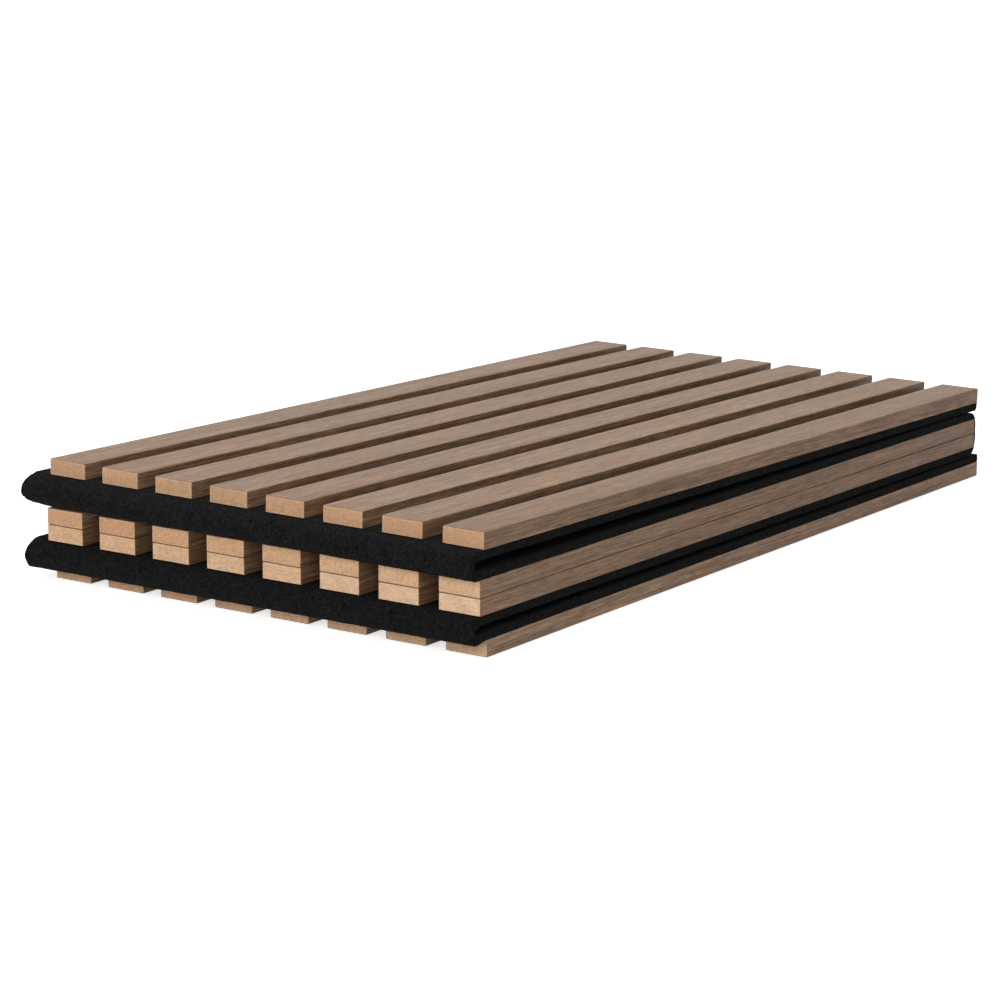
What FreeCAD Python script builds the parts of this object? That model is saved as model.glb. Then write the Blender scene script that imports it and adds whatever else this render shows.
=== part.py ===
import FreeCAD
import Part
import Sketcher
import math
import os

# Acoustic slat wall panel, folded up in four leaves. Thirty-two wrapped slats are glued to one strip
# of felt, which is laid in a zigzag: top leaf, second leaf, third leaf and bottom leaf. The folds lie
# at the near end, the far end and the near end again. X runs across the slats, Y along them from the
# near end to the far end, Z up from the face that the pack rests on. Millimetres.

# Driving sizes
SIZES = {
    # Slats, counted across one leaf, left to right
    "slat_count": 8,
    "slat_width": 27,
    "slat_gap": 13,
    "slat_depth": 9.5,
    "slat_length": 575,
    "slat_edge_radius": 0.6,
    # Felt strip and the glue between it and the slats
    "felt_depth": 5.2,
    "glue_line": 0.1,
    # Loose fit between the faces of the second and third leaves
    "slat_face_gap": 0.2,
    # How far the leaves are shifted along Y from the top leaf's near end
    "middle_reach": 3.4,
    "bottom_recess": 3,
    # Open slits between the felts of two leaves, at the near and at the far end
    "low_near_slit": 3.5,
    "low_far_slit": 0.5,
    "top_near_slit": 5.6,
    "top_far_slit": 0.3,
    # The top leaf lies higher on its left by this much
    "top_left_lift": 3.2,
    # Near folds: the low one sags below the bottom leaf's felt and the top one stands off the slat ends
    "low_fold_sag": 2,
    "low_fold_crease": 0.4,
    "top_fold_set": 1.5,
    # Far fold: the felt is drawn thin over the ends of the second and third leaves
    "far_end_clearance": 0.3,
    "far_fold_depth": 2.2,
    "far_fold_corner": 7,
    "far_fold_crown": 45,
}

doc = FreeCAD.newDocument("slat_panel")
sheet = doc.addObject("Spreadsheet::Sheet", "sizes")
for row, (name, value) in enumerate(SIZES.items(), start=1):
    sheet.set(f"A{row}", name)
    sheet.set(f"B{row}", str(value))
    sheet.setAlias(f"B{row}", name)
doc.recompute()

# Places on a piece of sketch geometry, and the sketch's own origin and vertical axis
START, END, CENTRE = range(1, 4)
ORIGIN, VERTICAL_AXIS = range(-1, -3, -1)


def size(name):
    return float(sheet.get(name))


def span(*names, share=1):
    """A signed sum of sizes, over share: the text that binds a constraint, and its value."""
    terms = [("- " if name.startswith("-") else "+ ") + "sizes." + name.lstrip("-") for name in names]
    signs = [-1 if name.startswith("-") else 1 for name in names]
    total = sum(sign * size(name.lstrip("-")) for sign, name in zip(signs, names))
    return f"({' '.join(terms).removeprefix('+ ')}) / {share}", total / share


def origin_plane(body, role):
    return next(plane for plane in body.Origin.OriginFeatures if plane.Role == role)


def add_body(name):
    body = doc.addObject("PartDesign::Body", name)
    body.Label = name
    return body


class Outline:
    """A sketch on one of a body's own planes, with its sizes tied to the sheet."""

    def __init__(self, body, name, role, stand=None):
        self.sketch = body.newObject("Sketcher::SketchObject", name)
        self.sketch.AttachmentSupport = [(origin_plane(body, role), "")]
        self.sketch.MapMode = "FlatFace"
        if stand:
            self.sketch.setExpression(".AttachmentOffset.Base.z", stand)

    def line(self, start, end, construction=False):
        ends = [FreeCAD.Vector(*point, 0) for point in (start, end)]
        return self.sketch.addGeometry(Part.LineSegment(*ends), construction)

    def close(self, first, first_end, second, second_end):
        """Draw the edge that joins the ends of two others."""
        ends = [self.sketch.getPoint(*place) for place in ((first, first_end), (second, second_end))]
        edge = self.sketch.addGeometry(Part.LineSegment(*ends))
        self.tie("Coincident", edge, START, first, first_end)
        self.tie("Coincident", edge, END, second, second_end)

    def arc(self, centre, radius, from_degrees, to_degrees):
        circle = Part.Circle(FreeCAD.Vector(*centre, 0), FreeCAD.Vector(0, 0, 1), radius)
        angles = (math.radians(from_degrees), math.radians(to_degrees))
        return self.sketch.addGeometry(Part.ArcOfCircle(circle, *angles))

    def tie(self, kind, *places, to=None):
        """Add a constraint, with its value bound to a span of sizes where it has one."""
        if to is None:
            return self.sketch.addConstraint(Sketcher.Constraint(kind, *places))
        text, value = to
        index = self.sketch.addConstraint(Sketcher.Constraint(kind, *places, value))
        name = f"size_{index}"
        self.sketch.renameConstraint(index, name)
        self.sketch.setExpression(f"Constraints.{name}", text)
        return index

    def place_x(self, line, end, to):
        self.tie("DistanceX", ORIGIN, START, line, end, to=to)

    def place_y(self, line, end, to):
        self.tie("DistanceY", ORIGIN, START, line, end, to=to)

    def run_on(self, line, datum):
        """Hold both ends of a line on a datum line."""
        self.tie("PointOnObject", line, START, datum)
        self.tie("PointOnObject", line, END, datum)

    def height(self, datum, y):
        """Height of a datum line above the resting face at a place along the slats."""
        geometry = self.sketch.Geometry[datum]
        near, far = geometry.StartPoint, geometry.EndPoint
        return near.y + (far.y - near.y) * (y - near.x) / (far.x - near.x)


def add_datums(outline, top_slits=None):
    """Stack the construction lines of the felt's faces, from the bottom leaf up.

    Each line runs from the near end, y = 0, to the far end of the top leaf. It is tied to the line
    below it by a height at the near end and one at the far end.
    """
    felt = span("felt_depth")
    pair = span("glue_line", "slat_depth", "slat_face_gap", "slat_depth", "glue_line")
    steps = {
        "bottom_slats": (span("slat_depth", "glue_line"),) * 2,
        "bottom_free": (felt, felt),
        "third_free": (span("low_near_slit"), span("low_far_slit")),
        "third_slats": (felt, felt),
        "second_slats": (pair, pair),
        "second_free": (felt, felt),
    }
    if top_slits:
        steps["top_free"] = top_slits
        steps["top_slats"] = (felt, felt)
    length = span("slat_length")
    datums = {}
    below = None
    near_height = 0
    far_height = 0
    for name, (near_step, far_step) in steps.items():
        near_height += near_step[1]
        far_height += far_step[1]
        datum = outline.line((0, near_height), (length[1], far_height), construction=True)
        outline.tie("PointOnObject", datum, START, VERTICAL_AXIS)
        outline.place_x(datum, END, length)
        for end, step in ((START, near_step), (END, far_step)):
            if below is None:
                outline.place_y(datum, end, step)
            else:
                outline.tie("DistanceY", below, end, datum, end, to=step)
        datums[name] = datum
        below = datum
    return datums


def add_low_fold_side(outline, datums, side, radius, crease):
    """One side of the low near fold: a loop, a reverse bend and the run along the bottom leaf.

    The loop hangs lower than the felt of the bottom leaf, so the felt turns down at the slat ends
    before it goes round. Returns the third leaf's run and the bottom leaf's run.
    """
    third_datum = datums[f"third_{side}"]
    bottom_datum = datums[f"bottom_{side}"]
    third_height = outline.height(third_datum, 0)
    bottom_height = outline.height(bottom_datum, 0)
    recess = span("bottom_recess")
    bottom_end = span("bottom_recess", "slat_length")
    loop_height = third_height - radius[1]
    bend_height = bottom_height - crease[1]
    rise = loop_height - bend_height
    reach = math.sqrt((radius[1] + crease[1]) ** 2 - rise ** 2)
    joint = math.degrees(math.atan2(-rise, reach))
    loop = outline.arc((recess[1] - reach, loop_height), radius[1], 90, 360 + joint)
    bend = outline.arc((recess[1], bend_height), crease[1], 90, 180 + joint)
    third = outline.line((recess[1] - reach, third_height), (size("slat_length"), third_height))
    bottom = outline.line((recess[1], bottom_height), (bottom_end[1], bottom_height))
    outline.tie("Tangent", third, START, loop, START)
    outline.tie("Tangent", loop, END, bend, END)
    outline.tie("Tangent", bend, START, bottom, START)
    outline.tie("Radius", loop, to=radius)
    outline.tie("Radius", bend, to=crease)
    outline.place_x(bend, CENTRE, recess)
    outline.place_x(bottom, END, bottom_end)
    outline.run_on(third, third_datum)
    outline.run_on(bottom, bottom_datum)
    return third, bottom


def add_far_fold(outline, datums, third_free, second_free):
    """Outer side of the far fold: two rounded corners and a slightly crowned face between them."""
    corner = span("far_fold_corner")
    crown = span("far_fold_crown")
    crown_x = span("slat_length", "-middle_reach", "far_end_clearance", "far_fold_depth", "-far_fold_crown")
    half_pair = span("glue_line", "slat_depth", "slat_face_gap", "slat_depth", "glue_line", share=2)
    far = size("slat_length")
    middle = outline.height(datums["third_slats"], far) + half_pair[1]
    rise = middle - (outline.height(datums["third_free"], far) + corner[1])
    reach = math.sqrt((crown[1] - corner[1]) ** 2 - rise ** 2)
    swing = math.degrees(math.atan2(rise, reach))
    low = outline.arc((crown_x[1] + reach, middle - rise), corner[1], 270, 360 - swing)
    face = outline.arc((crown_x[1], middle), crown[1], -swing, swing)
    high = outline.arc((crown_x[1] + reach, middle + rise), corner[1], swing, 90)
    outline.tie("Tangent", third_free, END, low, START)
    outline.tie("Tangent", low, END, face, START)
    outline.tie("Tangent", face, END, high, START)
    outline.tie("Tangent", high, END, second_free, END)
    outline.tie("Radius", low, to=corner)
    outline.tie("Radius", high, to=corner)
    outline.tie("Radius", face, to=crown)
    outline.place_x(face, CENTRE, crown_x)
    outline.tie("DistanceY", datums["third_slats"], END, face, CENTRE, to=half_pair)


def draw_lower_strip(body):
    """Section of the felt from the bottom leaf's far end to the near end of the second leaf."""
    outline = Outline(body, "lower_strip_section", "YZ_Plane", FELT_LEFT)
    datums = add_datums(outline)
    felt = size("felt_depth")
    loop = span("felt_depth", "low_near_slit", "low_fold_sag", "felt_depth", share=2)
    loop_inside = span("low_near_slit", "low_fold_sag", share=2)
    crease = span("low_fold_crease")
    crease_outside = span("low_fold_crease", "felt_depth")
    third_slats, bottom_slats = add_low_fold_side(outline, datums, "slats", loop, crease)
    third_free, bottom_free = add_low_fold_side(outline, datums, "free", loop_inside, crease_outside)

    # Run of the second leaf, which ends where the top fold starts
    fold_start = span("-top_fold_set")
    run_end = span("slat_length", "-middle_reach", "far_end_clearance")
    runs = {}
    for side in ("slats", "free"):
        datum = datums[f"second_{side}"]
        height = outline.height(datum, 0)
        far_height = outline.height(datum, run_end[1])
        run = outline.line((fold_start[1], height), (run_end[1] - felt, far_height))
        outline.run_on(run, datum)
        outline.place_x(run, START, fold_start)
        runs[side] = run
    outline.close(runs["slats"], START, runs["free"], START)
    outline.place_x(third_slats, END, run_end)
    outline.place_x(runs["slats"], END, run_end)
    outline.close(third_slats, END, runs["slats"], END)
    outline.close(bottom_slats, END, bottom_free, END)
    add_far_fold(outline, datums, third_free, runs["free"])
    return outline, datums


def draw_top_leaf(body, name, stand, lift=()):
    """Section of the top fold and the top leaf at one edge of the felt."""
    outline = Outline(body, name, "YZ_Plane", stand)
    slits = (span("top_near_slit", *lift), span("top_far_slit", *lift))
    datums = add_datums(outline, slits)
    fold_start = span("-top_fold_set")
    leaf_end = span("slat_length")
    turns = {}
    runs = {}
    for side in ("slats", "free"):
        low_datum = datums[f"second_{side}"]
        high_datum = datums[f"top_{side}"]
        low = outline.height(low_datum, fold_start[1])
        high = outline.height(high_datum, fold_start[1])
        far_height = outline.height(high_datum, leaf_end[1])
        turn = outline.arc((fold_start[1], (low + high) / 2), (high - low) / 2, 90, 270)
        run = outline.line((fold_start[1], high), (leaf_end[1], far_height))
        outline.tie("Tangent", run, START, turn, START)
        outline.tie("PointOnObject", turn, END, low_datum)
        outline.place_x(turn, END, fold_start)
        outline.place_x(turn, CENTRE, fold_start)
        outline.run_on(run, high_datum)
        outline.place_x(run, END, leaf_end)
        turns[side] = turn
        runs[side] = run
    outline.close(turns["slats"], END, turns["free"], END)
    outline.close(runs["slats"], END, runs["free"], END)
    return outline, datums


# Felt strip, one solid: the lower three leaves run straight across, and the top leaf is lofted
# between its two edges because it lies higher on its left
FELT_WIDTH = "sizes.slat_count * (sizes.slat_width + sizes.slat_gap)"
FELT_LEFT = "-sizes.slat_gap"
FELT_RIGHT = f"{FELT_WIDTH} - sizes.slat_gap"

felt_body = add_body("felt_backing")
lower_strip, lower_datums = draw_lower_strip(felt_body)
top_left, top_left_datums = draw_top_leaf(felt_body, "top_leaf_left", FELT_LEFT, ("top_left_lift",))
top_right, top_right_datums = draw_top_leaf(felt_body, "top_leaf_right", FELT_RIGHT)
strip = felt_body.newObject("PartDesign::Pad", "lower_strip")
strip.Profile = lower_strip.sketch
strip.setExpression("Length", FELT_WIDTH)
doc.recompute()
top_leaf = felt_body.newObject("PartDesign::AdditiveLoft", "top_leaf")
top_leaf.Profile = top_left.sketch
top_leaf.Sections = [top_right.sketch]
top_leaf.Ruled = True
felt_body.Tip = top_leaf
doc.recompute()


def draw_slat_section(outline):
    """Wrapped slat in section: a flat glued back at height zero and two rounded face edges."""
    width = span("slat_width")
    depth = span("slat_depth")
    radius = span("slat_edge_radius")
    face_left = radius[1]
    face_right = width[1] - radius[1]
    shoulder = depth[1] - radius[1]
    back = outline.line((0, 0), (width[1], 0))
    right = outline.line((width[1], 0), (width[1], shoulder))
    right_edge = outline.arc((face_right, shoulder), radius[1], 0, 90)
    face = outline.line((face_right, depth[1]), (face_left, depth[1]))
    left_edge = outline.arc((face_left, shoulder), radius[1], 90, 180)
    left = outline.line((0, shoulder), (0, 0))
    outline.tie("Coincident", back, START, ORIGIN, START)
    outline.tie("Coincident", back, END, right, START)
    outline.tie("Coincident", left, END, back, START)
    outline.tie("Tangent", right, END, right_edge, START)
    outline.tie("Tangent", right_edge, END, face, START)
    outline.tie("Tangent", face, END, left_edge, START)
    outline.tie("Tangent", left_edge, END, left, START)
    outline.tie("Horizontal", back)
    outline.tie("Horizontal", face)
    outline.tie("Vertical", right)
    outline.tie("Vertical", left)
    outline.tie("Equal", right_edge, left_edge)
    outline.tie("Radius", right_edge, to=radius)
    outline.place_x(back, END, width)
    outline.place_y(face, START, depth)


def add_slat(name):
    """One slat, lying along Y with its glued back down and its left near corner at the origin."""
    body = add_body(name)
    outline = Outline(body, f"{name}_section", "XZ_Plane")
    draw_slat_section(outline)
    pad = body.newObject("PartDesign::Pad", f"{name}_length")
    pad.Profile = outline.sketch
    pad.setExpression("Length", "sizes.slat_length")
    pad.Reversed = True
    return body


class Seat:
    """Flat face of the felt that a leaf's slats are glued to."""

    def __init__(self, left_edge, right_edge):
        left, left_line = left_edge
        right, right_line = right_edge
        length = size("slat_length")
        self.left = -size("slat_gap")
        self.near_height = left.height(left_line, 0)
        self.rise_along = (left.height(left_line, length) - self.near_height) / length
        self.rise_across = (right.height(right_line, 0) - self.near_height) / felt_width
        self.normal = FreeCAD.Vector(-self.rise_across, -self.rise_along, 1).normalize()

    def place(self, x, y, faces_up):
        """Placement of a slat whose left near corner is at x, y, a glue line clear of the felt."""
        height = self.near_height + self.rise_along * y + self.rise_across * (x - self.left)
        tilt = FreeCAD.Rotation(FreeCAD.Vector(0, 0, 1), self.normal)
        corner = FreeCAD.Vector(x, y, height)
        if faces_up:
            return FreeCAD.Placement(corner + self.normal * size("glue_line"), tilt)
        turned = FreeCAD.Rotation(FreeCAD.Vector(0, 1, 0), 180)
        corner += tilt.multVec(FreeCAD.Vector(size("slat_width"), 0, -size("glue_line")))
        return FreeCAD.Placement(corner, tilt * turned)


# Slats of each leaf, left to right: the edges of its seat, where its near end is and whether it faces up
felt_width = size("slat_count") * (size("slat_width") + size("slat_gap"))
top_edges = [(top_left, top_left_datums["top_slats"]), (top_right, top_right_datums["top_slats"])]
second_edges = [(lower_strip, lower_datums["second_slats"])] * 2
third_edges = [(lower_strip, lower_datums["third_slats"])] * 2
bottom_edges = [(lower_strip, lower_datums["bottom_slats"])] * 2
LEAVES = {
    "top": (top_edges, 0, True),
    "second": (second_edges, -size("middle_reach"), False),
    "third": (third_edges, -size("middle_reach"), True),
    "bottom": (bottom_edges, size("bottom_recess"), False),
}
pieces = [felt_body]
for leaf, (edges, near_end, faces_up) in LEAVES.items():
    seat = Seat(*edges)
    for index in range(round(size("slat_count"))):
        slat = add_slat(f"{leaf}_slat_{index + 1}")
        left_edge = index * (size("slat_width") + size("slat_gap"))
        slat.Placement = seat.place(left_edge, near_end, faces_up)
        pieces.append(slat)
doc.recompute()

# Origin: middle of the pack's footprint, on the face it rests on
footprint = Part.makeCompound([piece.Shape for piece in pieces]).optimalBoundingBox(False, False)
middle = FreeCAD.Vector(footprint.Center.x, footprint.Center.y, 0)
for piece in pieces:
    piece.Placement = FreeCAD.Placement(-middle, FreeCAD.Rotation()) * piece.Placement
doc.recompute()

# Every object is sound before anything is written
for item in doc.Objects:
    if {"Invalid", "Error"} & set(item.State):
        raise RuntimeError(f"{item.Label} did not build: {item.State}")
for piece in pieces:
    if piece.Shape.isNull() or not piece.Shape.isValid() or len(piece.Shape.Solids) != 1:
        raise RuntimeError(f"{piece.Label} is not one sound solid")

os.makedirs("parts", exist_ok=True)
for piece in pieces:
    piece.Shape.exportStep(os.path.join("parts", f"{piece.Label}.step"))
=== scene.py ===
import math

import bmesh
import bpy
from mathutils import Matrix, Vector, noise


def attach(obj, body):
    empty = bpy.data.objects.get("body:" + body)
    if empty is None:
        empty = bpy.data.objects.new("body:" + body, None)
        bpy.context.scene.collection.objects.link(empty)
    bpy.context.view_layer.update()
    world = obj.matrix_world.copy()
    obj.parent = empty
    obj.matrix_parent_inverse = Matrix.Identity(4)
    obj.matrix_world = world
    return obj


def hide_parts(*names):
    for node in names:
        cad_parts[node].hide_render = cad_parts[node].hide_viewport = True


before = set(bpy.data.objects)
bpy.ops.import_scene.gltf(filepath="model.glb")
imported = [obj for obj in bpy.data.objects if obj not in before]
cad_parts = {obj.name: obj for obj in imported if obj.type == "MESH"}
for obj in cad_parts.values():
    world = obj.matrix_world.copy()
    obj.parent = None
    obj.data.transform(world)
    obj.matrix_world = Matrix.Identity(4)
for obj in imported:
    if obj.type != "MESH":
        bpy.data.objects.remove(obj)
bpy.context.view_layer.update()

# Acoustic slat wall panel, folded up in four leaves: thirty-two wrapped slats on one strip of black
# felt. The frame is the CAD's: X runs across the slats, Y along them, Z up from the resting face.

MM = 0.001

# Sizes in millimetres, as the CAD has them. Places along the strip are counted from the near end of
# the top leaf's slats, and places across it from the left side of its first slat.
SLAT_COUNT, SLAT_WIDTH, SLAT_GAP, SLAT_DEPTH, SLAT_LENGTH = 8, 27.0, 13.0, 9.5, 575.0
SLAT_PITCH = SLAT_WIDTH + SLAT_GAP
EDGE_RADIUS = 0.6
FELT, GLUE, FACE_GAP = 5.2, 0.1, 0.2
# The bottom leaf's felt lies this high
BASE = SLAT_DEPTH + GLUE
# Open slits between the felts of two leaves, at the near and at the far end
LOW_SLIT, TOP_SLIT = (3.5, 0.5), (5.6, 0.3)
# How much higher the top leaf lies on its left
LEFT_LIFT = 3.2
# How far the middle leaves are shifted towards the near end, and the bottom leaf towards the far one
MIDDLE_REACH, BOTTOM_RECESS = 3.4, 3.0
# The far fold's inner face, with its clearance off the ends of the middle leaves' slats
FAR_CLEARANCE = 0.3
FAR_WALL = SLAT_LENGTH - MIDDLE_REACH + FAR_CLEARANCE
FELT_LEFT, FELT_RIGHT = -SLAT_GAP, SLAT_COUNT * SLAT_PITCH - SLAT_GAP
# Where the frame's own origin lies in these places
ORIGIN_X, ORIGIN_Y = 147.04433, 283.44679

# For each leaf: whether its slats' faces point up, how pale the fibreboard's sawn ends are at its
# first slat and how much paler at its last, which paints the light and shade that fall on them, and
# the veneer's tone, partly painted light: the bottom leaf's is raised for the light the floor bounces
# up
LEAVES = {
    "top": (True, 0.02, 0.14, 1.0),
    "second": (False, 0.37, 0.26, 0.92),
    "third": (True, 0.66, 0.27, 0.91),
    "bottom": (False, 0.58, 0.20, 1.17),
}
# The veneer's tone on each slat of the top leaf, and how far chance moves a slat's paleness and tone
TOP_TONES = (1.0, 1.0, 0.97, 1.04, 0.98, 1.0, 0.97, 0.93)
PALE_CHANCE, TONE_CHANCE = 0.08, 0.10

# Colours, linear
WHITE = (1.0, 1.0, 1.0, 1.0)
VENEER_DARK = (0.254, 0.153, 0.089, 1.0)
VENEER_PALE = (0.294, 0.182, 0.109, 1.0)
VENEER_RED = (0.312, 0.158, 0.087, 1.0)
VENEER_OLIVE = (0.241, 0.160, 0.094, 1.0)
CORE_DEEP = (0.450, 0.272, 0.154, 1.0)
CORE_WARM = (0.535, 0.296, 0.154, 1.0)
CORE_PALE = (0.745, 0.520, 0.335, 1.0)
CORE_RIM = (0.720, 0.520, 0.380, 1.0)
# The paleness at which the fibreboard has its warm colour, between the deep and the pale one
CORE_MIDDLE = 0.35
WRAP_EDGE = (0.190, 0.110, 0.066, 1.0)
FELT_COOL = (0.0040, 0.0047, 0.0054, 1.0)
FELT_WARM = (0.0051, 0.0048, 0.0045, 1.0)
FELT_SHEEN = (0.85, 0.85, 0.85, 1.0)
FLOOR_DULL = (0.75, 0.75, 0.75, 1.0)
FLOOR_PALE = (0.85, 0.85, 0.85, 1.0)


def link_object(name, data):
    piece = bpy.data.objects.new(name, data)
    bpy.context.scene.collection.objects.link(piece)
    return piece


# ---- Node materials

class Tree:
    """The node tree of a material or a world, with one-line ways to add to it."""

    def __init__(self, owner):
        owner.use_nodes = True
        self.nodes, self.links = owner.node_tree.nodes, owner.node_tree.links

    def put(self, socket, value):
        if isinstance(value, bpy.types.NodeSocket):
            self.links.new(value, socket)
        else:
            socket.default_value = value

    def fill(self, node, **inputs):
        for name, value in inputs.items():
            self.put(node.inputs[name.replace("_", " ")], value)

    def add(self, kind, *inputs, **settings):
        node = self.nodes.new(kind)
        for name, value in settings.items():
            setattr(node, name, value)
        for socket, value in zip(node.inputs, inputs):
            self.put(socket, value)
        return node

    def math(self, operation, *inputs, clamp=False):
        node = self.add("ShaderNodeMath", *inputs, operation=operation, use_clamp=clamp)
        return node.outputs[0]

    def vector_math(self, operation, *inputs, output="Vector"):
        return self.add("ShaderNodeVectorMath", *inputs, operation=operation).outputs[output]


class Shader(Tree):
    """A piece's own material, with the steps that its patterns are made of."""

    def __init__(self, name):
        self.material = bpy.data.materials.new(name)
        super().__init__(self.material)
        self.surface = self.nodes["Principled BSDF"]

    def attribute(self, name):
        return self.add("ShaderNodeAttribute", attribute_name=name).outputs["Fac"]

    def noise(self, vector, scale=1.0, detail=2.0, roughness=0.5, output="Fac"):
        node = self.add("ShaderNodeTexNoise")
        self.fill(node, Vector=vector, Scale=scale, Detail=detail, Roughness=roughness)
        return node.outputs[output]

    def ramp(self, value, low, high, low_out=0.0, high_out=1.0):
        """A soft step: low_out where the value is low, and high_out where it is high."""
        node = self.add(
            "ShaderNodeMapRange", value, low, high, low_out, high_out, interpolation_type="SMOOTHSTEP"
        )
        return node.outputs[0]

    def product(self, first, *others):
        for other in others:
            first = self.math("MULTIPLY", first, other)
        return first

    def added(self, base, value, factor):
        return self.math("ADD", base, self.math("MULTIPLY", value, factor))

    def mix(self, share, first, second, blend="MIX"):
        node = self.add("ShaderNodeMix", data_type="RGBA", blend_type=blend)
        sockets = {socket.identifier: socket for socket in node.inputs}
        for name, value in (("Factor_Float", share), ("A_Color", first), ("B_Color", second)):
            self.put(sockets[name], value)
        return next(s for s in node.outputs if s.identifier == "Result_Color")

    def shaded(self, colour, red, green, blue):
        """The colour with each of its channels multiplied by a level."""
        levels = self.add("ShaderNodeCombineColor", red, green, blue).outputs[0]
        return self.mix(1.0, colour, levels, "MULTIPLY")

    def dress(self, relief, depth, **surface):
        """Sets the surface's values and its fine relief, with its depth in metres."""
        node = self.add("ShaderNodeBump")
        self.fill(node, Distance=depth, Height=relief)
        self.fill(self.surface, Normal=node.outputs[0], **surface)
        return self.material


def board_place(shader, shift):
    """Coordinates across a slat's wrap and along it in metres, and a third one of each slat's own."""
    uv = shader.add("ShaderNodeUVMap", uv_map="grain").outputs[0]
    across, along, _ = shader.add("ShaderNodeSeparateXYZ", uv).outputs
    return across, along, shader.math("MULTIPLY", shader.attribute("board"), shift)


def make_veneer():
    """Grey-brown wood veneer, straight in the grain, under a matt lacquer."""
    shader = Shader("veneer")
    across, along, depth = board_place(shader, 3.71)

    def streaks(start, pitch_across, pitch_along, shift, detail=3.0, roughness=0.55):
        """Noise drawn out along the grain, with its pitches in places per metre."""
        place = shader.add(
            "ShaderNodeCombineXYZ",
            shader.math("MULTIPLY", start, pitch_across),
            shader.math("MULTIPLY", along, pitch_along),
            shader.math("ADD", depth, shift),
        ).outputs[0]
        return shader.noise(place, 1.0, detail, roughness)

    bent = shader.added(across, streaks(across, 9.0, 2.6, 40.0, detail=1.0), 0.012)
    broad = streaks(bent, 75.0, 1.8, 0.0)
    medium = streaks(bent, 290.0, 3.0, 11.0)
    mottle = streaks(bent, 750.0, 75.0, 29.0)
    lines = streaks(bent, 1150.0, 13.0, 17.0, detail=4.0, roughness=0.7)
    fine = streaks(bent, 2300.0, 34.0, 23.0)
    pores = streaks(bent, 1800.0, 125.0, 31.0, detail=2.0)
    warm = streaks(bent, 300.0, 11.0, 57.0)

    colour = shader.mix(shader.ramp(broad, 0.36, 0.66), VENEER_DARK, VENEER_PALE)
    colour = shader.mix(shader.ramp(warm, 0.49, 0.66, 0.0, 0.50), colour, VENEER_RED)
    colour = shader.mix(shader.ramp(warm, 0.51, 0.36, 0.0, 0.45), colour, VENEER_OLIVE)
    level = shader.product(
        shader.ramp(medium, 0.30, 0.70, 0.87, 1.13),
        shader.ramp(mottle, 0.30, 0.70, 0.82, 1.18),
        shader.ramp(lines, 0.30, 0.70, 0.64, 1.32),
        shader.ramp(fine, 0.30, 0.70, 0.76, 1.22),
        shader.ramp(pores, 0.33, 0.45, 0.66, 1.02),
        # The slat's tone, partly painted light: raised on the bottom leaf for the light the floor
        # bounces onto it
        shader.attribute("tone_and_painted_light"),
    )
    # The darker the line, the warmer its brown
    levels = [shader.math("POWER", level, power) for power in (0.90, 1.05, 1.25)]
    return shader.dress(
        relief=shader.added(shader.ramp(pores, 0.28, 0.46, 0.0, 0.5), fine, 0.55),
        depth=0.00012,
        Base_Color=shader.shaded(colour, *levels),
        Roughness=shader.ramp(medium, 0.3, 0.7, 0.36, 0.47),
        IOR=1.45,
        Specular_IOR_Level=0.14,
    )


def make_fibreboard():
    """Sawn end of the slat's fibreboard core: matted fibres, a paler rim and the wrap's dark edge."""
    shader = Shader("fibreboard")
    across, up, depth = board_place(shader, 5.13)
    place = shader.add(
        "ShaderNodeCombineXYZ", across, up, shader.math("MULTIPLY", depth, MM)
    ).outputs[0]

    def specks(pitch_across, pitch_up, detail=2.0, roughness=0.5):
        scaled = shader.vector_math("MULTIPLY", place, (pitch_across, pitch_up, 1000.0))
        return shader.noise(scaled, 1.0, detail, roughness)

    cloud = specks(110.0, 190.0)
    fibres = specks(520.0, 900.0, 4.0, 0.6)
    dust = specks(2600.0, 3200.0, 3.0, 0.65)
    saw = specks(1500.0, 60.0)

    # Distances in from the rim: the wrap covers the face and both sides, and not the glued back
    side = shader.math("MINIMUM", across, shader.math("SUBTRACT", SLAT_WIDTH * MM, across))
    wrapped = shader.math("MINIMUM", side, shader.math("SUBTRACT", SLAT_DEPTH * MM, up))
    rim = shader.math("MINIMUM", wrapped, up)

    # How pale the end is: painted light and shade, set by leaf and by the slat's place in it, moved a
    # little by chance
    pale = shader.attribute("pale")
    lower = shader.math("MULTIPLY", pale, 1 / CORE_MIDDLE, clamp=True)
    past_middle = shader.math("SUBTRACT", pale, CORE_MIDDLE)
    upper = shader.math("MULTIPLY", past_middle, 1 / (1 - CORE_MIDDLE), clamp=True)
    colour = shader.mix(upper, shader.mix(lower, CORE_DEEP, CORE_WARM), CORE_PALE)
    colour = shader.mix(shader.ramp(cloud, 0.38, 0.66, 0.0, 0.30), colour, CORE_DEEP)
    colour = shader.mix(shader.ramp(rim, 0.0016, 0.0003, 0.0, 0.16), colour, CORE_RIM)
    level = shader.product(
        shader.ramp(fibres, 0.28, 0.72, 0.84, 1.14),
        shader.ramp(dust, 0.28, 0.72, 0.85, 1.13),
        shader.ramp(saw, 0.30, 0.70, 0.97, 1.03),
    )
    colour = shader.shaded(colour, level, level, level)
    colour = shader.mix(shader.ramp(wrapped, 0.00042, 0.00028, 0.0, 0.75), colour, WRAP_EDGE)
    return shader.dress(
        relief=shader.added(shader.math("MULTIPLY", fibres, 0.6), dust, 0.4),
        depth=0.00025,
        Base_Color=colour,
        Roughness=0.82,
        Specular_IOR_Level=0.25,
    )


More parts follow.
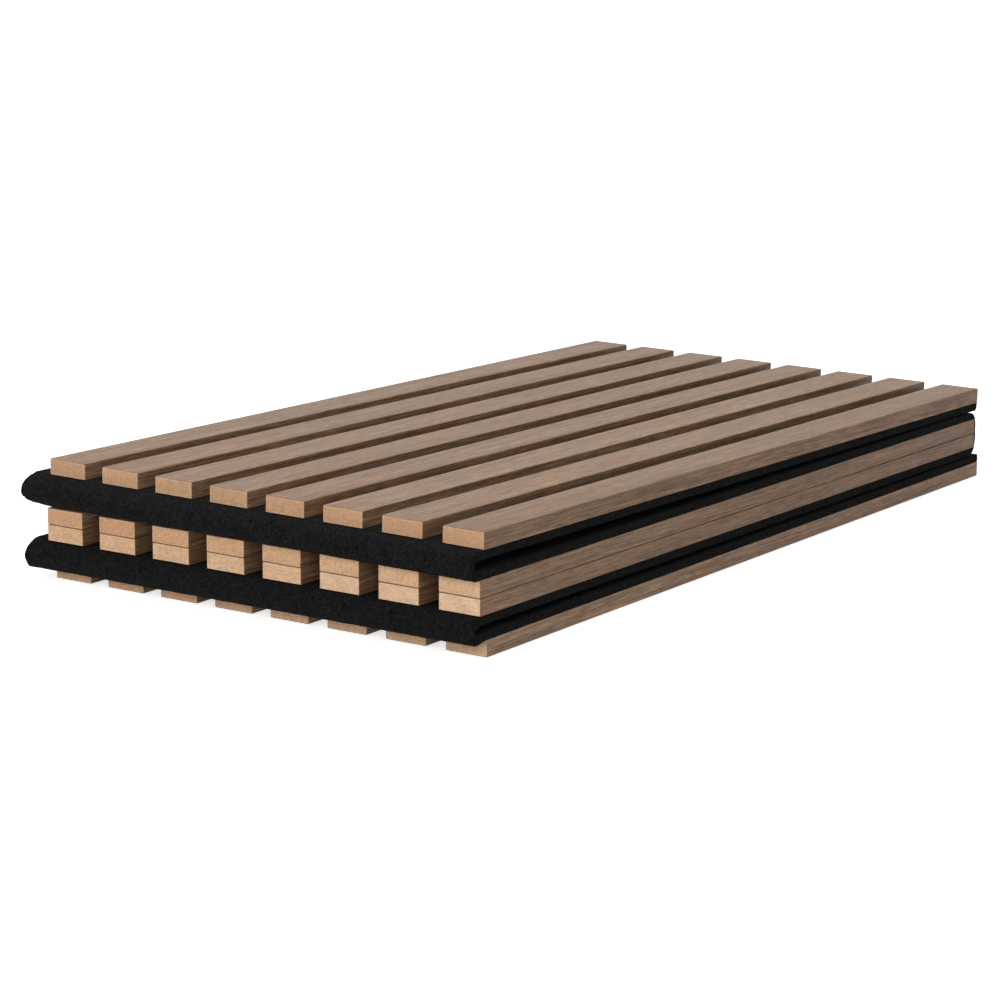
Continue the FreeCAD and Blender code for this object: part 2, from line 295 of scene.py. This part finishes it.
def make_felt():
    """Needled black felt: short tangled fibres, with a soft bloom at grazing angles."""
    shader = Shader("felt")
    place = shader.add("ShaderNodeTexCoord").outputs["Object"]
    drift = shader.noise(place, 160.0, output="Color")
    wander = shader.vector_math("MULTIPLY", drift, (0.012, 0.012, 0.012))
    moved = shader.vector_math("ADD", place, wander)

    def threads(pitches, shift, width):
        """Thin bright lines where a stretched noise crosses its middle."""
        shifted = shader.vector_math("ADD", moved, (shift, shift, shift))
        value = shader.noise(shader.vector_math("MULTIPLY", shifted, pitches), 1.0, 1.0)
        away = shader.math("ABSOLUTE", shader.math("SUBTRACT", value, 0.5))
        return shader.ramp(away, width, 0.0)

    lines = shader.math(
        "MAXIMUM",
        threads((420.0, 900.0, 700.0), 0.0, 0.020),
        threads((950.0, 380.0, 620.0), 0.31, 0.018),
    )
    lines = shader.math("MAXIMUM", lines, threads((700.0, 640.0, 320.0), 0.77, 0.018))
    clumps = shader.noise(moved, 480.0, 4.0, 0.65)
    grit = shader.noise(place, 1400.0, 3.0, 0.6)
    patches = shader.noise(place, 130.0)
    tint = shader.noise(place, 95.0)

    level = shader.product(
        shader.ramp(clumps, 0.40, 0.62, 0.0, 2.12),
        shader.ramp(grit, 0.36, 0.64, 0.36, 1.56),
        shader.ramp(patches, 0.30, 0.70, 0.85, 1.15),
    )
    level = shader.added(level, lines, 2.8)
    colour = shader.mix(shader.ramp(tint, 0.35, 0.65), FELT_COOL, FELT_WARM)
    return shader.dress(
        relief=shader.added(shader.added(clumps, grit, 0.25), lines, 0.12),
        depth=0.0021,
        Base_Color=shader.shaded(colour, level, level, level),
        Roughness=1.0,
        Specular_IOR_Level=0.05,
        Sheen_Weight=0.03,
        Sheen_Roughness=0.45,
        Sheen_Tint=FELT_SHEEN,
    )


VENEER, FIBREBOARD, FELT_CLOTH = make_veneer(), make_fibreboard(), make_felt()


# ---- Slats

WALL_SHARES = (0.0, 0.25, 0.5, 0.75, 1.0)
CORNER_STEPS, FACE_STEPS, LENGTH_STEPS = 6, 9, 24
# The eased edge of a sawn end, and the first row of faces behind it
SAW_EASE, END_ROW = 0.12, 4.0
SHARP_ANGLE = math.radians(40)
# A CAD node's points this near to its end belong to that end
END_REACH = 0.1 * SLAT_DEPTH
# The glued back is hidden, so a thin band of the sawn end's pattern does for it, in metres
BACK_PLACE, BACK_BAND = 0.004, 0.002


def slat_section():
    """The wrapped slat's section, from the glued back's left corner round its face to the right one.

    Each point is x, z and the distance round the wrap.
    """
    wall, flat = SLAT_DEPTH - EDGE_RADIUS, SLAT_WIDTH - 2 * EDGE_RADIUS

    def corner(centre, start):
        turns = [start - 90 * step / CORNER_STEPS for step in range(CORNER_STEPS + 1)]
        return [(centre + EDGE_RADIUS * math.cos(math.radians(turn)),
                 wall + EDGE_RADIUS * math.sin(math.radians(turn))) for turn in turns]

    points = [(0.0, share * wall) for share in WALL_SHARES]
    points += corner(EDGE_RADIUS, 180)[1:]
    points += [(EDGE_RADIUS + flat * step / FACE_STEPS, SLAT_DEPTH) for step in range(1, FACE_STEPS)]
    points += corner(SLAT_WIDTH - EDGE_RADIUS, 90)
    points += [(SLAT_WIDTH, share * wall) for share in reversed(WALL_SHARES[:-1])]
    section = [(*points[0], 0.0)]
    for (last_x, last_z), (x, z) in zip(points, points[1:]):
        section.append((x, z, section[-1][2] + math.hypot(x - last_x, z - last_z)))
    return section


def slat_stations():
    """Places of the rings along a slat."""
    between = [SLAT_LENGTH * step / LENGTH_STEPS for step in range(1, LENGTH_STEPS)]
    far = [SLAT_LENGTH - END_ROW, SLAT_LENGTH - SAW_EASE, SLAT_LENGTH]
    return [0.0, SAW_EASE, END_ROW, *between, *far]


SECTION, STATIONS = slat_section(), slat_stations()


def slat_frame(node, faces_up):
    """Where a slat lies: its back's near left corner and its axes, from the CAD node's own corners."""
    points = [vertex.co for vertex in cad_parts[node].data.vertices]
    side = 1 if faces_up else -1
    pairs = []
    for limit in (min(p.y for p in points), max(p.y for p in points)):
        end = [p for p in points if abs(p.y - limit) < END_REACH * MM]
        pairs.append((min(end, key=lambda p: p.x + side * p.z),
                      max(end, key=lambda p: p.x - side * p.z)))
    # Turned over, a slat has its own left side on the right
    (left, right), (far_left, _) = [pair[::side] for pair in pairs]
    along = (far_left - left).normalized()
    across = (right - left).normalized()
    place = Matrix((across, along, across.cross(along))).transposed().to_4x4()
    place.translation = left
    return place


def slat_rings(mesh, values):
    """The slat's vertices, ring after ring, each with the values that its materials read."""
    layers = [(mesh.verts.layers.float.new(name), value) for name, value in values.items()]
    rings = []
    for station in STATIONS:
        eased = SAW_EASE if station in (0.0, SLAT_LENGTH) else 0.0
        ring = []
        for x, z, _ in SECTION:
            x += eased * (1 - 2 * x / SLAT_WIDTH)
            z += eased * (1 - 2 * z / SLAT_DEPTH)
            vertex = mesh.verts.new((x * MM, station * MM, z * MM))
            for layer, value in layers:
                vertex[layer] = value
            ring.append(vertex)
        rings.append(ring)
    return rings


def make_slat(node, faces_up, number, pale, tone_and_painted_light):
    """One slat: a rounded wrap, sawn ends with a hair of an eased edge, and a plain back."""
    mesh = bmesh.new()
    grain = mesh.loops.layers.uv.new("grain")
    rings = slat_rings(mesh, {"board": number, "pale": pale, "tone_and_painted_light": tone_and_painted_light})
    for row in range(len(rings) - 1):
        for step in range(len(SECTION) - 1):
            corners = ((row, step), (row + 1, step), (row + 1, step + 1), (row, step + 1))
            face = mesh.faces.new([rings[r][s] for r, s in corners])
            face.smooth = True
            for loop, (r, s) in zip(face.loops, corners):
                loop[grain].uv = (SECTION[s][2] * MM, STATIONS[r] * MM)
        back = mesh.faces.new([rings[row][0], rings[row][-1], rings[row + 1][-1], rings[row + 1][0]])
        back.material_index = 1
        for loop in back.loops:
            x, y, _ = loop.vert.co
            loop[grain].uv = (0.5 * SLAT_WIDTH * MM + x, BACK_PLACE + y % BACK_BAND)
    for ring, turn in ((rings[0], 1), (rings[-1], -1)):
        face = mesh.faces.new(ring[::turn])
        face.material_index = 1
        for loop in face.loops:
            loop[grain].uv = (loop.vert.co.x, loop.vert.co.z)
    data = bpy.data.meshes.new(f"{node}_board")
    mesh.to_mesh(data)
    mesh.free()
    data.set_sharp_from_angle(angle=SHARP_ANGLE)
    data.materials.append(VENEER)
    data.materials.append(FIBREBOARD)
    data.transform(slat_frame(node, faces_up))
    piece = link_object(f"{node}_board", data)
    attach(piece, "root")
    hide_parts(node)


# Each slat takes its paleness and tone from its leaf, where they partly paint light and shade, and from
# two walks through the noise, which move them a little by chance
number = 0
for leaf, (faces_up, first_pale_painted_light, paler_painted_light, leaf_tone_and_painted_light) in LEAVES.items():
    for index in range(SLAT_COUNT):
        number += 1
        pale = first_pale_painted_light + paler_painted_light * (index / (SLAT_COUNT - 1)) ** 2
        pale += PALE_CHANCE * noise.noise(Vector((number * 1.7, 0.3, 0.9)))
        tone_and_painted_light = leaf_tone_and_painted_light * (1 + TONE_CHANCE * noise.noise(Vector((0.6, number * 2.3, 0.4))))
        if leaf == "top":
            tone_and_painted_light *= TOP_TONES[index]
        make_slat(f"{leaf}_slat_{index + 1}", faces_up, number, max(pale, 0.0), tone_and_painted_light)


# ---- Felt strip

# Its runs start this far behind the near folds, and end this far before the far one
RUN_IN, FAR_RUN_IN = 8.0, 16.0
# A run's first step between stations, how much each one grows, and the longest
FIRST_STEP, STEP_GROWTH, LONGEST_STEP = 1.6, 1.35, 14.0
# Stations of a fold, and of its curve between two of the given points
FOLD_STATIONS, CURVE_STEPS = 46, 16
FELT_COLUMNS = 118
RIM, RIM_STEPS, RIM_SQUARENESS = 0.6, 8, 0.4
# The top leaf's far end is cut this much under
UNDERCUT = 2.6
# Matted unevenness: heights, and places per millimetre
UNEVEN = ((0.20, 0.23), (0.13, 0.55), (0.07, 1.1))
# On its runs the felt lies this much under its nominal face. It puffs up between the slats, and on its
# bare left margin from this far outside the first slat.
SINK = 0.22
PUFF, PUFF_SQUARENESS = 0.42, 0.7
MARGIN_PUFF, MARGIN_WIDTH = 0.30, 4.0
# The curl of the second leaf's margin, how far it reaches along it, and the height it starts at
CURL, CURL_REACH, CURL_FLOOR = 1.1, 60.0, 42.0
# The runs' surface reaches this far into the folds
RUN_OVERLAP = 2.0


def slit_rise(slit, y):
    return slit[0] + (slit[1] - slit[0]) * y / SLAT_LENGTH


# Heights of the leaves' felts: their free sides, or the side that carries the slats

def third_free(y):
    return BASE + FELT + slit_rise(LOW_SLIT, y)


def second_slats(y):
    return third_free(y) + FELT + 2 * BASE + FACE_GAP


def top_free(y, lift):
    return second_slats(y) + FELT + lift + slit_rise(TOP_SLIT, y)


def spline(points):
    """Stations along a Catmull-Rom curve through the given points, evenly spread between its ends."""
    points = [Vector(p) for p in points]
    padded = [2 * points[0] - points[1], *points, 2 * points[-1] - points[-2]]
    fine = []
    for index in range(1, len(padded) - 2):
        before, start, end, after = padded[index - 1:index + 3]
        for step in range(CURVE_STEPS):
            t = step / CURVE_STEPS
            fine.append(0.5 * (2 * start + (end - before) * t
                               + (2 * before - 5 * start + 4 * end - after) * t ** 2
                               + (3 * start - before - 3 * end + after) * t ** 3))
    fine.append(points[-1])
    lengths = [0.0]
    for first, second in zip(fine, fine[1:]):
        lengths.append(lengths[-1] + (second - first).length)
    out, at = [], 0
    for index in range(FOLD_STATIONS):
        goal = lengths[-1] * index / (FOLD_STATIONS - 1)
        while at < len(lengths) - 2 and lengths[at + 1] < goal:
            at += 1
        share = (goal - lengths[at]) / (lengths[at + 1] - lengths[at])
        out.append(fine[at].lerp(fine[at + 1], min(share, 1.0)))
    return out


def run(start, end, slats, free):
    """Stations along a straight leaf: close together near its ends and wide apart between them."""
    length, places, step = abs(end - start), [0.0], FIRST_STEP
    while places[-1] < length / 2:
        places.append(places[-1] + step)
        step = min(step * STEP_GROWTH, LONGEST_STEP)
    half = [p * (length / 2) / places[-1] for p in places]
    places = half + [length - p for p in reversed(half[:-1])]
    turn = 1 if end > start else -1
    return [(Vector((start + turn * p, slats(start + turn * p))),
             Vector((start + turn * p, free(start + turn * p)))) for p in places]


# A fold is drawn in the Y-Z plane by the points of its two faces. The near folds have one drawing for
# the strip's left edge and one for its right, and the cloth passes evenly from one to the other.

def low_fold(left):
    """The low near fold leans forward, and sags below the bottom leaf at its left end."""
    top = third_free(0.0)
    if left:
        slats = [(3.3, 9.3), (2.2, 8.2), (0.6, 7.1), (-1.8, 6.5), (-4.4, 6.4), (-7.0, 7.4),
                 (-9.0, 9.9), (-10.5, 13.2), (-9.8, 16.4), (-8.0, 18.9), (-5.4, 20.9), (-2.4, 22.4),
                 (1.2, top + FELT - 0.1)]
        free = [(3.0, 14.5), (1.4, 13.6), (0.0, 12.6), (-1.6, 11.9), (-3.2, 11.7), (-4.6, 12.3),
                (-5.3, 13.4), (-5.0, 14.6), (-4.0, 15.8), (-2.6, 16.8), (-1.0, 17.6), (1.0, top - 0.2)]
    else:
        slats = [(3.0, 9.45), (0.6, 9.1), (-2.0, 8.6), (-5.0, 8.1), (-7.6, 8.1), (-9.3, 9.5),
                 (-10.0, 12.2), (-9.9, 15.2), (-9.2, 18.0), (-7.8, 20.5), (-5.2, 22.4), (-2.0, 23.2),
                 (1.2, top + FELT)]
        free = [(3.0, 14.7), (0.6, 14.5), (-2.0, 14.3), (-4.6, 14.2), (-6.4, 14.3), (-7.5, 14.7),
                (-7.9, 15.4), (-7.5, 16.2), (-6.2, 16.9), (-4.4, 17.5), (-2.0, 18.0), (1.0, top - 0.05)]
    slats = [(RUN_IN, BASE), (5.0, BASE), *slats,
             *((y, third_free(y) + FELT) for y in (5.0, RUN_IN))]
    free = [(RUN_IN, BASE + FELT), (5.0, BASE + FELT), *free,
            *((y, third_free(y)) for y in (5.0, RUN_IN))]
    return slats, free


def far_fold():
    """Over the far ends of the middle slats the felt is drawn thin round two corners."""
    wall, start = FAR_WALL, FAR_WALL - FAR_RUN_IN
    base, low, high = third_free(SLAT_LENGTH), third_free(SLAT_LENGTH) + FELT, second_slats(SLAT_LENGTH)
    slats = [(start, third_free(start) + FELT), (wall - 8, low), (wall - 1.8, low + 0.05),
             (wall - 0.4, low + 0.5), (wall, low + 2.0), (wall, low + 6.0), (wall, (low + high) / 2),
             (wall, high - 6.0), (wall, high - 2.0), (wall - 0.4, high - 0.5),
             (wall - 1.8, high - 0.05), (wall - 8, high), (start, second_slats(start))]
    free = [(start, third_free(start)), (wall - 10, base + 0.05), (wall - 5.4, 15.7),
            (wall - 2.4, 16.8), (wall - 0.1, 18.6), (wall + 1.2, 21.4), (wall + 1.9, 25.3),
            (wall + 2.1, 30.2), (wall + 1.85, 35.5), (wall + 0.8, 40.3), (wall - 1.4, 43.3),
            (wall - 5.0, high + FELT - 0.4), (wall - 10, high + FELT + 0.05),
            (start, second_slats(start) + FELT)]
    return slats, free


def top_fold(left, lift):
    """The top near fold: a round loop off the slats at its left end, a squarer one at its right."""
    low, high = second_slats(0.0), top_free(0.0, lift) + FELT
    if left:
        slats = [(1.5, low + 0.1), (-2.0, low + 0.7), (-5.4, low + 2.0), (-8.6, low + 4.2),
                 (-10.9, low + 7.2), (-11.7, low + 10.4), (-10.8, low + 13.3), (-8.0, low + 15.9),
                 (-3.8, low + 17.9), (-0.6, high - 0.6), (1.6, high)]
        free = [(2.0, low + 5.3), (-1.0, low + 5.7), (-3.6, low + 6.7), (-5.4, low + 8.3),
                (-6.1, low + 10.2), (-5.4, low + 11.9), (-3.4, low + 13.2), (-0.6, high - 5.4),
                (2.0, high - 5.25)]
    else:
        slats = [(1.0, low), (-3.6, low - 0.1), (-7.4, low), (-9.9, low + 1.3), (-10.9, low + 4.2),
                 (-11.1, low + 7.6), (-10.5, low + 11.0), (-8.6, low + 13.7), (-4.8, low + 15.1),
                 (-1.2, high - 0.55), (1.2, high)]
        free = [(2.0, low + FELT), (-2.6, low + 5.3), (-6.0, low + 5.5), (-7.6, low + 6.2),
                (-8.1, low + 7.8), (-7.7, low + 9.5), (-6.2, low + 10.4), (-2.6, low + 10.7),
                (2.0, high - FELT)]
    slats = [*((y, second_slats(y)) for y in (RUN_IN, 4.0)), *slats,
             *((y, top_free(y, lift) + FELT) for y in (4.0, RUN_IN))]
    free = [*((y, second_slats(y) + FELT) for y in (RUN_IN, 5.0)), *free,
            *((y, top_free(y, lift)) for y in (5.0, RUN_IN))]
    return slats, free


def fold(faces):
    """Stations of a fold, without the first and last, which its leaves have."""
    slats, free = faces
    return list(zip(spline(slats), spline(free)))[1:-1]


def strip_stations(left, lift):
    """The felt's two faces in the Y-Z plane, from the bottom leaf's far end to the top leaf's."""
    far = FAR_WALL - FAR_RUN_IN
    stations = run(SLAT_LENGTH + BOTTOM_RECESS, RUN_IN, lambda y: BASE, lambda y: BASE + FELT)
    stations += fold(low_fold(left))
    stations += run(RUN_IN, far, lambda y: third_free(y) + FELT, third_free)
    stations += fold(far_fold())
    stations += run(far, RUN_IN, second_slats, lambda y: second_slats(y) + FELT)
    stations += fold(top_fold(left, lift))
    stations += run(RUN_IN, SLAT_LENGTH, lambda y: top_free(y, lift) + FELT,
                    lambda y: top_free(y, lift))
    slats, free = stations[-1]
    stations[-1] = (slats, free - Vector((UNDERCUT, 0.0)))
    return stations


def felt_ring():
    """Places round the strip's cross-section: x, and the share of its thickness towards the slats."""
    steps = [(1 - math.cos(math.pi * index / RIM_STEPS)) / 2 for index in range(1, RIM_STEPS)]
    left, right = FELT_LEFT + RIM, FELT_RIGHT - RIM
    width = FELT_RIGHT - FELT_LEFT - 2 * RIM
    row = [left + width * index / FELT_COLUMNS for index in range(FELT_COLUMNS + 1)]
    ring = [(x, 1.0) for x in row]
    ring += [(right + RIM * math.sin(math.pi * s) ** RIM_SQUARENESS, 1 - s) for s in steps]
    ring += [(x, 0.0) for x in reversed(row)]
    ring += [(left - RIM * math.sin(math.pi * s) ** RIM_SQUARENESS, s) for s in steps]
    return ring


def felt_swell(x, place, towards_slats, on_run):
    """How far the felt stands off its nominal face: matted unevenness, and puffs beside the slats."""
    rough = sum(height * noise.noise(place * pitch) for height, pitch in UNEVEN)
    if not on_run:
        return rough
    swell = rough - SINK
    if towards_slats:
        across = (x % SLAT_PITCH) - SLAT_WIDTH
        if 0 < across < SLAT_GAP and x > 0:
            swell += PUFF * math.sin(math.pi * across / SLAT_GAP) ** PUFF_SQUARENESS
        elif x < 0:
            swell += MARGIN_PUFF * min(1.0, -x / MARGIN_WIDTH)
    return swell


def margin_curl(x, y, z):
    """The second leaf's bare left margin curls up a little beside its first slat's near end."""
    just_over_it = second_slats(0.0) + FELT + 1.0
    if x > 0 or z < CURL_FLOOR or z > just_over_it:
        return 0.0
    return CURL * (x / FELT_LEFT) * max(0.0, 1 - max(y, 0.0) / CURL_REACH) ** 2


def felt_rings(mesh, places):
    """The strip's vertices in millimetres, a ring of them at each station."""
    rings = []
    for left, right in zip(strip_stations(True, LEFT_LIFT), strip_stations(False, 0.0)):
        ring = []
        for x, towards in places:
            share = (x - FELT_LEFT) / (FELT_RIGHT - FELT_LEFT)
            slats, free = left[0].lerp(right[0], share), left[1].lerp(right[1], share)
            y, z = free.lerp(slats, towards)
            ring.append(mesh.verts.new((x, y, z + margin_curl(x, y, z))))
        rings.append(ring)
    return rings


def close_end(mesh, ring, turn):
    """Closes one end of the strip: a row of quads, and a face at each rim."""
    row, rims = FELT_COLUMNS + 1, RIM_STEPS - 1
    upper, lower = ring[:row], ring[row + rims:row + rims + row][::-1]
    for index in range(row - 1):
        corners = (upper[index], upper[index + 1], lower[index + 1], lower[index])
        mesh.faces.new(corners[::turn])
    mesh.faces.new([upper[-1], *ring[row:row + rims], lower[-1]][::turn])
    mesh.faces.new([lower[0], *ring[row + rims + row:], upper[0]][::turn])


def make_felt_strip():
    """The felt as one cloth through all four leaves, closed all round."""
    mesh = bmesh.new()
    places = felt_ring()
    rings = felt_rings(mesh, places)
    for near, far in zip(rings, rings[1:]):
        for index in range(len(places)):
            after = (index + 1) % len(places)
            mesh.faces.new((near[index], near[after], far[after], far[index])).smooth = True
    close_end(mesh, rings[0], -1)
    close_end(mesh, rings[-1], 1)
    bmesh.ops.recalc_face_normals(mesh, faces=mesh.faces)
    mesh.normal_update()
    for ring in rings:
        for (x, towards), vertex in zip(places, ring):
            on_run = RUN_IN - RUN_OVERLAP < vertex.co.y < FAR_WALL - FAR_RUN_IN + RUN_OVERLAP
            swell = felt_swell(x, vertex.co, towards > 0.5, on_run and towards in (0.0, 1.0))
            moved = vertex.co + vertex.normal * swell
            vertex.co = ((moved.x - ORIGIN_X) * MM, (moved.y - ORIGIN_Y) * MM, moved.z * MM)
    data = bpy.data.meshes.new("felt_strip")
    mesh.to_mesh(data)
    mesh.free()
    data.materials.append(FELT_CLOTH)
    piece = link_object("felt_strip", data)
    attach(piece, "root")
    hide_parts("felt_backing")


make_felt_strip()


# ---- Floor, light and camera

FLOOR_REACH, FLOOR_DROP = 30.0, 0.0002
# Between these distances from the object the floor's glow goes from the one level to the other
FLOOR_FADE, FLOOR_GLOW = (0.6, 2.6), (0.70, 0.95)
AMBIENT = 0.20
PACK_MIDDLE = (0.0, 0.0, 0.03)
# Each lamp's place and aim, its width in metres and power in watts, and whether it shows in a gloss
LAMPS = {
    "key": ((-0.85, -2.1, 0.85), PACK_MIDDLE, 1.5, 23.3, True),
    "fill": ((0.78, -1.42, 0.55), PACK_MIDDLE, 0.89, 6.1, True),
    "overhead": ((0.1, -0.35, 2.2), (0.0, -0.05, 0.0), 1.8, 27.2, True),
    "back": ((-0.2, 2.4, 0.7), PACK_MIDDLE, 1.2, 9.0, False),
}
# The camera that was fitted to the photo: lens and sensor in millimetres, turns in degrees
LENS, SENSOR = 111.34, 36.0
CLIP_START, CLIP_END = 0.05, 100.0
CAMERA_PLACE = (1.067862, -1.569828, 0.429432)
CAMERA_TURNS = (77.68669, -0.12602, 34.94140)


def show(tree, lighting, seen, output):
    """Gives the output one shader where it lights the pack, and another where a ray sees it."""
    rays = tree.add("ShaderNodeLightPath").outputs
    direct = tree.math("ADD", rays["Is Camera Ray"], rays["Is Glossy Ray"])
    direct = tree.math("ADD", direct, rays["Is Transmission Ray"], clamp=True)
    pick = tree.add("ShaderNodeMixShader", direct, lighting.outputs[0], seen.outputs[0])
    tree.fill(tree.add(output), Surface=pick.outputs[0])


def make_floor():
    """A wide floor that lights the pack as a dull one does and is seen as a white one."""
    material = bpy.data.materials.new("floor")
    tree = Tree(material)
    tree.nodes.clear()
    place = tree.add("ShaderNodeTexCoord").outputs["Object"]
    away = tree.vector_math("LENGTH", place, output="Value")
    # It pales to white with its distance from the object, out of the lamps' reach
    fade = tree.add("ShaderNodeMapRange", away, *FLOOR_FADE, *FLOOR_GLOW).outputs[0]
    glow = tree.add("ShaderNodeEmission", WHITE, fade)
    pale = tree.add("ShaderNodeBsdfDiffuse", FLOOR_PALE)
    lit = tree.add("ShaderNodeAddShader", pale.outputs[0], glow.outputs[0])
    show(tree, tree.add("ShaderNodeBsdfDiffuse", FLOOR_DULL), lit, "ShaderNodeOutputMaterial")
    corners = [(x * FLOOR_REACH, y * FLOOR_REACH, 0) for x, y in ((-1, -1), (1, -1), (1, 1), (-1, 1))]
    data = bpy.data.meshes.new("floor")
    data.from_pydata(corners, [], [(0, 1, 2, 3)])
    data.materials.append(material)
    floor = link_object("floor", data)
    floor.location.z = -FLOOR_DROP


def make_world():
    """A dim white room that lights the pack, and is seen as plain white."""
    world = bpy.data.worlds.new("studio")
    bpy.context.scene.world = world
    tree = Tree(world)
    tree.nodes.clear()
    dim = tree.add("ShaderNodeBackground", WHITE, AMBIENT)
    show(tree, dim, tree.add("ShaderNodeBackground", WHITE, 1.0), "ShaderNodeOutputWorld")


def add_lamp(name, place, aim, width, power, in_gloss):
    data = bpy.data.lights.new(name, "AREA")
    data.shape, data.size, data.energy = "DISK", width, power
    lamp = link_object(name, data)
    lamp.location = place
    lamp.rotation_mode = "QUATERNION"
    lamp.rotation_quaternion = (Vector(aim) - Vector(place)).to_track_quat("-Z", "Y")
    lamp.visible_glossy = in_gloss


def add_camera():
    data = bpy.data.cameras.new("camera")
    data.lens, data.sensor_width = LENS, SENSOR
    data.clip_start, data.clip_end = CLIP_START, CLIP_END
    camera = link_object("camera", data)
    camera.location = CAMERA_PLACE
    camera.rotation_euler = [math.radians(turn) for turn in CAMERA_TURNS]
    bpy.context.scene.camera = camera


make_floor()
make_world()
for name, values in LAMPS.items():
    add_lamp(name, *values)
add_camera()
bpy.context.scene.view_settings.view_transform = "Standard"

bpy.context.view_layer.update()
